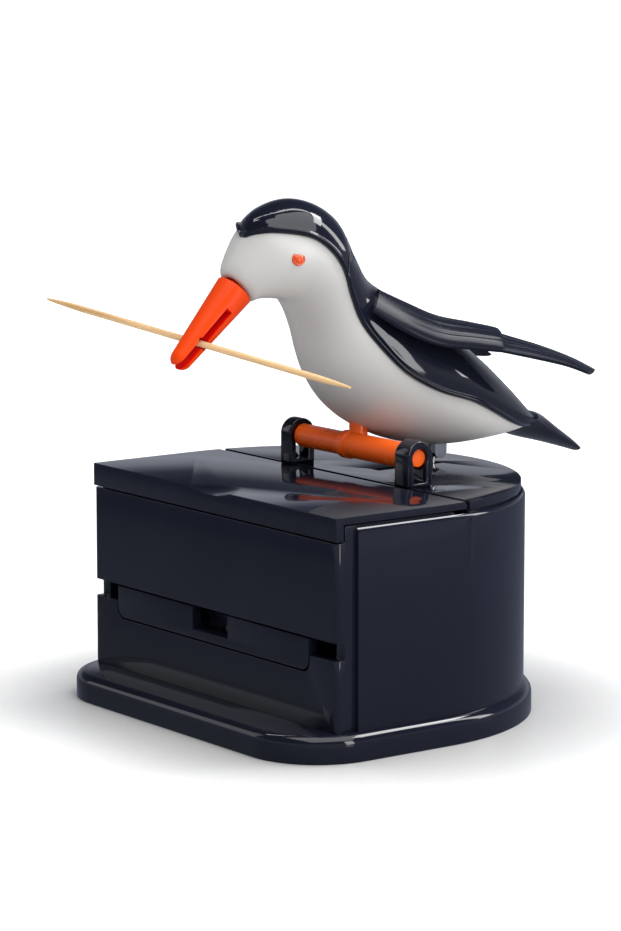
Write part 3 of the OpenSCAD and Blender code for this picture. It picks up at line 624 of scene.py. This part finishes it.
class DISPENSER_OT_lid(bpy.types.Operator):
    """Lid with its lip and thumb scoop, and its hinge pins"""
    bl_idname = "dispenser.lid"
    bl_label = "Lid"

    def execute(self, context):
        soften("lid", "lid", "gloss_black")
        finish_nodes("drawn_steel", "hinge_pin_left", "hinge_pin_right")
        return {"FINISHED"}


class DISPENSER_OT_tray(bpy.types.Operator):
    """Slide tray behind the front slot"""
    bl_idname = "dispenser.tray"
    bl_label = "Slide tray"

    def execute(self, context):
        soften("pick_tray", "tray", "gloss_black")
        return {"FINISHED"}


class DISPENSER_OT_ears(bpy.types.Operator):
    """The two ears that carry the axle"""
    bl_idname = "dispenser.ears"
    bl_label = "Ears"

    def execute(self, context):
        for node in ("ear_left", "ear_right"):
            soften(node, "case", "gloss_black", segments=4)
        return {"FINISHED"}


class DISPENSER_OT_axle(bpy.types.Operator):
    """Orange axle with its collar and end pins"""
    bl_idname = "dispenser.axle"
    bl_label = "Axle"

    def execute(self, context):
        soften("axle", "bird", "orange_axle")
        return {"FINISHED"}


class DISPENSER_OT_mechanism(bpy.types.Operator):
    """Chute, guides, crank, wire, spring and the other pieces inside the case"""
    bl_idname = "dispenser.mechanism"
    bl_label = "Mechanism"

    def execute(self, context):
        for node in ("hopper_chute", "tray_guides", "crank_stand", "spring_post"):
            soften(node, "case", "satin_inner", segments=2)
        soften("bell_crank", "crank", "satin_inner", segments=2)
        soften("bird_mount", "bird", "white_shell", segments=2)
        finish_nodes("drawn_steel", "crank_pin", "return_spring", "pull_wire", "wire_lug")
        return {"FINISHED"}


# ---------------------------------------------------------------- the bird's pieces

def shell_ring(row, wall, draw_in):
    """Outline of the right white shell across a section: up its outside, down its inside."""
    angles = [math.radians(-90 + 180 * k / SHELL_POINTS) for k in range(SHELL_POINTS + 1)]
    return ([body_point(row, a, -draw_in) for a in angles]
            + [body_point(row, a, -wall) for a in reversed(angles)])


class DISPENSER_OT_shells(bpy.types.Operator):
    """White halves of the bird's body"""
    bl_idname = "dispenser.shells"
    bl_label = "White shells"

    def execute(self, context):
        wall = context.scene.dispenser_shape.shell_wall / MM
        for side, name in ((-1, "bird_shell_left"), (1, "bird_shell_right")):
            rings = []
            for k, row in enumerate(smooth_all(BODY, BODY_SLICES)):
                draw_in = THROAT_DEPTH * max(0.0, 1 - k / THROAT_SLICES) ** 2
                rings.append([Vector((side * p.x + side * SHELL_GAP, p.y, p.z))
                              for p in shell_ring(row, wall, draw_in)])
            obj = grid_solid(name + "_form", rings)
            shade(obj, 50)
            dress(obj, "bird", "white_shell", name)
        return {"FINISHED"}


def bead_height(distance):
    """Height of a black skin at a distance in mm from its nearest edge."""
    for (d0, h0), (d1, h1) in zip(BEAD, BEAD[1:]):
        if distance <= d1:
            t = (distance - d0) / (d1 - d0)
            t = t * t * (3 - 2 * t)
            return h0 + (h1 - h0) * t
    return BEAD[-1][1]


def skin_ring(row, lift):
    """Outline of a black skin across a section, with a bead along both of its edges."""
    low = math.radians(row[5])
    high = math.pi - low
    reach = (row[4] + Vector((row[2] - row[0], row[3] - row[1])).length / 2) / 2
    half = max((high - low) / 2 * reach, SKIN_LEAST)
    scale = min(1.0, half / BEAD_ROOM)
    side = [d * scale for d, _ in BEAD if d * scale < half * BEAD_SHARE] + [half]
    while len(side) < SKIN_POINTS:
        gaps = [b - a for a, b in zip(side, side[1:])]
        k = gaps.index(max(gaps))
        side.insert(k + 1, (side[k] + side[k + 1]) / 2)
    across = [(low + d / reach, lift * bead_height(d / scale)) for d in side]
    across += [(high - d / reach, lift * bead_height(d / scale)) for d in reversed(side[:-1])]
    outer = [body_point(row, a, SKIN_INSIDE + max(h - SKIN_INSIDE, SKIN_THIN)) for a, h in across]
    inner = [body_point(row, a, SKIN_INSIDE) for a, _ in reversed(across)]
    return outer + inner


def skin_strip(name, start, end, slices, round_start, round_end, nose=0.0):
    """Black skin along the body, rounded off over the given stretches and pointed at its nose."""
    rings = []
    for k in range(slices + 1):
        s = start + (end - start) * (k / slices) ** SKIN_CROWD
        row = smooth_at(BODY, s)
        if nose and s - start < nose:
            t = (s - start) / nose
            row[5] += (NOSE_ANGLE - row[5]) * (1 - math.sqrt(1 - (1 - t) ** 2))
        lift = SKIN_LIFT
        for near, stretch in ((s - start, round_start), (end - s, round_end)):
            if stretch and near < stretch:
                rise = math.sqrt(max(0.0, 1 - (1 - near / stretch) ** 2))
                lift *= SKIN_END_LIFT + (1 - SKIN_END_LIFT) * rise
        rings.append(skin_ring(row, lift))
    obj = grid_solid(name, rings)
    shade(obj, 60)
    return obj


class DISPENSER_OT_skins(bpy.types.Operator):
    """Black head cap, back and tail"""
    bl_idname = "dispenser.skins"
    bl_label = "Black cap and back"

    def execute(self, context):
        cap = skin_strip("head_cap_form", CAP_START, CAP_END, slices=90, round_start=0.3,
                         round_end=0.08, nose=0.35)
        dress(cap, "bird", "gloss_black", "head_cap")
        back = skin_strip("back_form", CAP_END + CAP_GAP, BACK_END, slices=120, round_start=0.1,
                          round_end=0.0)
        dress(back, "bird", "gloss_black", "back_shell")
        angles = [2 * math.pi * k / ROUND_POINTS for k in range(ROUND_POINTS)]
        tail = grid_solid("tail_form", [[body_point(row, a, 0) for a in angles]
                                        for row in smooth_all(TAIL, BODY_SLICES)])
        bake_bevel(tail, EDGE["tail"], segments=3, angle=50)
        shade(tail, 50)
        dress(tail, "bird", "gloss_black")
        return {"FINISHED"}


def blade_ring(row, depth):
    """Outline of the right wing across a section, with feather grooves in its upper side."""
    inner, outer = Vector(row[0:3]), Vector(row[3:6])
    middle, reach = (inner + outer) / 2, (outer - inner) / 2
    up = reach.cross(Vector(WING_RUN)).normalized()
    ring = []
    for k in range(WING_POINTS):
        t = 2 * math.pi * (k + 0.5) / WING_POINTS
        x, y = math.cos(t), math.sin(t)
        across = math.copysign(abs(x) ** WING_SQUARE, x)
        rise = y * row[6] if y > 0 else y * row[7]
        if y > 0:
            rise -= depth * sum(math.exp(-((across - g) / GROOVE_HALF) ** 2) for g in GROOVES)
        ring.append(middle - reach * across + up * rise)
    return ring


class DISPENSER_OT_wings(bpy.types.Operator):
    """The two black wings"""
    bl_idname = "dispenser.wings"
    bl_label = "Wings"

    def execute(self, context):
        for side, name in ((-1, "wing_left"), (1, "wing_right")):
            rings = []
            for k, row in enumerate(smooth_all(WING, WING_SLICES)):
                share = (k - GROOVE_START) / (GROOVE_FULL - GROOVE_START)
                depth = GROOVE_DEPTH * min(1.0, max(0.0, share))
                rings.append([Vector((side * p.x, p.y, p.z)) for p in blade_ring(row, depth)])
            obj = grid_solid(name + "_form", rings)
            shade(obj, 50)
            dress(obj, "bird", "wing_black", name)
        return {"FINISHED"}


class DISPENSER_OT_beak(bpy.types.Operator):
    """Orange beak with its mouth slit, and the eyes"""
    bl_idname = "dispenser.beak"
    bl_label = "Beak and eyes"

    def execute(self, context):
        soften("beak", "bird", "orange_beak")
        angles = [2 * math.pi * k / ROUND_POINTS for k in range(ROUND_POINTS)]
        for side, name in ((-1, "eye_left"), (1, "eye_right")):
            out = Vector((side * EYE_OUT[0], EYE_OUT[1], EYE_OUT[2])).normalized()
            flat = out.orthogonal().normalized()
            across = out.cross(flat)
            seat = Vector((side * EYE_AT[0], EYE_AT[1], EYE_AT[2]))
            rings = [[seat + out * rise + (flat * math.cos(a) + across * math.sin(a)) * reach
                      for a in angles] for reach, rise in EYE_PROFILE]
            eye = grid_solid(name + "_form", rings)
            shade(eye, 70)
            dress(eye, "bird", "orange_eye", name)
        return {"FINISHED"}


def pick_object(name, length, radius, seed, place):
    """Double pointed toothpick along X, turned from many thin slices, then put in its place."""
    half = length / 2
    point = []
    for k in range(POINT_SLICES + 1):
        t = k / POINT_SLICES
        point.append((-half + PICK_POINT * t,
                      PICK_TIP + (radius - PICK_TIP) * math.sin(t * math.pi / 2) ** 0.8))
    middle = [(-half + PICK_POINT + (length - 2 * PICK_POINT) * k / PICK_SLICES, radius)
              for k in range(1, PICK_SLICES)]
    other_point = [(-x, r) for x, r in reversed(point)]
    angles = [2 * math.pi * (k + 0.5) / PICK_SIDES for k in range(PICK_SIDES)]
    rings = []
    for i, (x, r) in enumerate(point + middle + other_point):
        wobble = 1.0 - PICK_UNEVEN * (0.5 + 0.5 * math.sin(seed * 7.3 + i * 1.7))
        rings.append([Vector((x, r * wobble * math.cos(a), r * wobble * math.sin(a)))
                      for a in angles])
    obj = grid_solid(name, rings)
    grain = obj.data.attributes.new("grain", "FLOAT_VECTOR", "POINT")
    for vert, value in zip(obj.data.vertices, grain.data):
        value.vector = vert.co + Vector((seed * GRAIN_STEP, 0.0, 0.0))
    obj.data.transform(place)
    shade(obj, 50)
    return obj


class DISPENSER_OT_picks(bpy.types.Operator):
    """The toothpick in the beak and the loose ones in the hopper"""
    bl_idname = "dispenser.picks"
    bl_label = "Toothpicks"

    def execute(self, context):
        shape = context.scene.dispenser_shape
        length, radius = shape.pick_length / MM, shape.pick_radius / MM
        turn = Matrix.Rotation(math.radians(-PICK_TURN), 4, Vector(PICK_AXIS))
        place = Matrix.Translation(Vector(PICK_AT) * MM) @ turn
        held = pick_object("held_pick_form", length, radius, 0, place)
        dress(held, "beak_pick", "birch_pick", "held_pick")
        for i in (1, 2, 3):
            node = "hopper_pick_%d" % i
            low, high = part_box(node)
            place = Matrix.Translation((low + high) / 2)
            loose = pick_object(node + "_form", length, radius, i, place)
            dress(loose, "loose_pick_%d" % i, "birch_pick", node)
        return {"FINISHED"}


# ---------------------------------------------------------------- the studio

def soft_light(name, place, size, power):
    """Rectangular lamp at a place, facing the object."""
    data = bpy.data.lights.new(name, "AREA")
    data.shape = "RECTANGLE"
    data.size, data.size_y = size
    data.energy = power
    lamp = put_in_scene(name, data)
    lamp.location = place
    way = Vector(LAMP_TARGET) - Vector(place)
    lamp.rotation_euler = way.to_track_quat("-Z", "Y").to_euler()


def floor_material():
    """White floor with a soft shadow; gloss sees it dark, and paler towards +X."""
    mat, tree, shader = new_material("studio_floor")
    set_inputs(shader, {"Roughness": 0.34, "Specular IOR Level": 0.35, "Emission Color": WHITE})
    place = tree.nodes.new("ShaderNodeTexCoord").outputs["Object"]
    mottle = add_noise(tree, place, 6.0, 3.0)
    tree.links.new(tinted(tree, mottle, [FLOOR_GREY] * 3, 0.01), shader.inputs["Base Color"])
    far = add_node(tree, "ShaderNodeVectorMath", operation="LENGTH")
    tree.links.new(place, far.inputs[0])
    glow = add_range(tree, far.outputs["Value"], FLOOR_GLOW, 1.0, FLOOR_NEAR, FLOOR_FAR)
    near = add_node(tree, "ShaderNodeAmbientOcclusion", {"Distance": SHADOW_REACH}, samples=12)
    depth = add_math(tree, "POWER", near.outputs["AO"], SHADOW_DEPTH)
    tree.links.new(add_math(tree, "MULTIPLY", glow, depth), shader.inputs["Emission Strength"])
    parts = tree.nodes.new("ShaderNodeSeparateXYZ")
    tree.links.new(place, parts.inputs["Vector"])
    side = add_range(tree, parts.outputs["X"], 0.0, 1.0, -FLOOR_SIDE, FLOOR_SIDE)
    dim = tree.nodes.new("ShaderNodeEmission")
    tree.links.new(add_ramp(tree, side, FLOOR_SEEN), dim.inputs["Color"])
    path = tree.nodes.new("ShaderNodeLightPath")
    surface = mix_shaders(tree, path.outputs["Is Glossy Ray"], shader.outputs[0], dim.outputs[0])
    tree.links.new(surface, tree.nodes["Material Output"].inputs["Surface"])
    return mat


def studio_world():
    """White behind the object; gloss sees a bright horizon under a dark ceiling."""
    world = bpy.data.worlds.new("studio_world")
    world.use_nodes = True
    tree = world.node_tree
    ambient = tree.nodes["Background"]
    set_inputs(ambient, {"Color": AMBIENT, "Strength": AMBIENT_POWER})
    way = tree.nodes.new("ShaderNodeTexCoord").outputs["Generated"]
    parts = tree.nodes.new("ShaderNodeSeparateXYZ")
    tree.links.new(way, parts.inputs["Vector"])
    sky = tree.nodes.new("ShaderNodeBackground")
    tree.links.new(add_ramp(tree, parts.outputs["Z"], SKY_SEEN), sky.inputs["Color"])
    white = add_node(tree, "ShaderNodeBackground", {"Color": WHITE})
    path = tree.nodes.new("ShaderNodeLightPath")
    lit = mix_shaders(tree, path.outputs["Is Glossy Ray"], ambient.outputs[0], sky.outputs[0])
    seen = mix_shaders(tree, path.outputs["Is Camera Ray"], lit, white.outputs[0])
    tree.links.new(seen, tree.nodes["World Output"].inputs["Surface"])
    return world


class DISPENSER_OT_studio(bpy.types.Operator):
    """Pale floor, white world, soft lights and the camera"""
    bl_idname = "dispenser.studio"
    bl_label = "Studio"

    def execute(self, context):
        scene = context.scene
        bm = bmesh.new()
        bmesh.ops.create_circle(bm, cap_ends=True, segments=FLOOR_SIDES, radius=FLOOR_RADIUS)
        floor = mesh_object("studio_floor", bm)
        floor.location = (0.0, 0.0, -FLOOR_DROP)
        floor.data.materials.append(floor_material())
        scene.world = studio_world()
        for lamp in LAMPS:
            soft_light(*lamp)

        data = bpy.data.cameras.new("photo_camera")
        data.sensor_width, data.lens = CAMERA_SENSOR, CAMERA_LENS
        data.clip_start, data.clip_end = CAMERA_NEAR, CAMERA_FAR
        camera = put_in_scene("photo_camera", data)
        camera.location = CAMERA_AT
        camera.rotation_euler = (math.radians(90 - CAMERA_DOWN), 0.0, math.radians(CAMERA_ROUND))
        scene.camera = camera
        scene.view_settings.view_transform = "Standard"
        return {"FINISHED"}


# ---------------------------------------------------------------- panel and start

class DISPENSER_PT_panel(bpy.types.Panel):
    """Lists the dispenser's pieces and settings"""
    bl_idname = "DISPENSER_PT_panel"
    bl_label = "Dispenser"
    bl_space_type = "VIEW_3D"
    bl_region_type = "UI"
    bl_category = "Dispenser"

    def draw(self, context):
        layout = self.layout
        for group in (context.scene.dispenser_shape, context.scene.dispenser_finish):
            box = layout.box()
            for key in group.__annotations__:
                box.prop(group, key)
        for operator in OPERATORS:
            layout.operator(operator.bl_idname)


OPERATORS = (
    DISPENSER_OT_case, DISPENSER_OT_lid, DISPENSER_OT_tray, DISPENSER_OT_ears,
    DISPENSER_OT_axle, DISPENSER_OT_mechanism, DISPENSER_OT_shells, DISPENSER_OT_skins,
    DISPENSER_OT_wings, DISPENSER_OT_beak, DISPENSER_OT_picks, DISPENSER_OT_studio)
CLASSES = (FinishSettings, ShapeSettings) + OPERATORS + (DISPENSER_PT_panel,)


def register():
    for cls in CLASSES:
        bpy.utils.register_class(cls)
    bpy.types.Scene.dispenser_finish = bpy.props.PointerProperty(type=FinishSettings)
    bpy.types.Scene.dispenser_shape = bpy.props.PointerProperty(type=ShapeSettings)


def unregister():
    del bpy.types.Scene.dispenser_shape
    del bpy.types.Scene.dispenser_finish
    for cls in reversed(CLASSES):
        bpy.utils.unregister_class(cls)


def main():
    register()
    for operator in OPERATORS:
        group, name = operator.bl_idname.split(".")
        getattr(getattr(bpy.ops, group), name)()


if __name__ == "__main__":
    main()
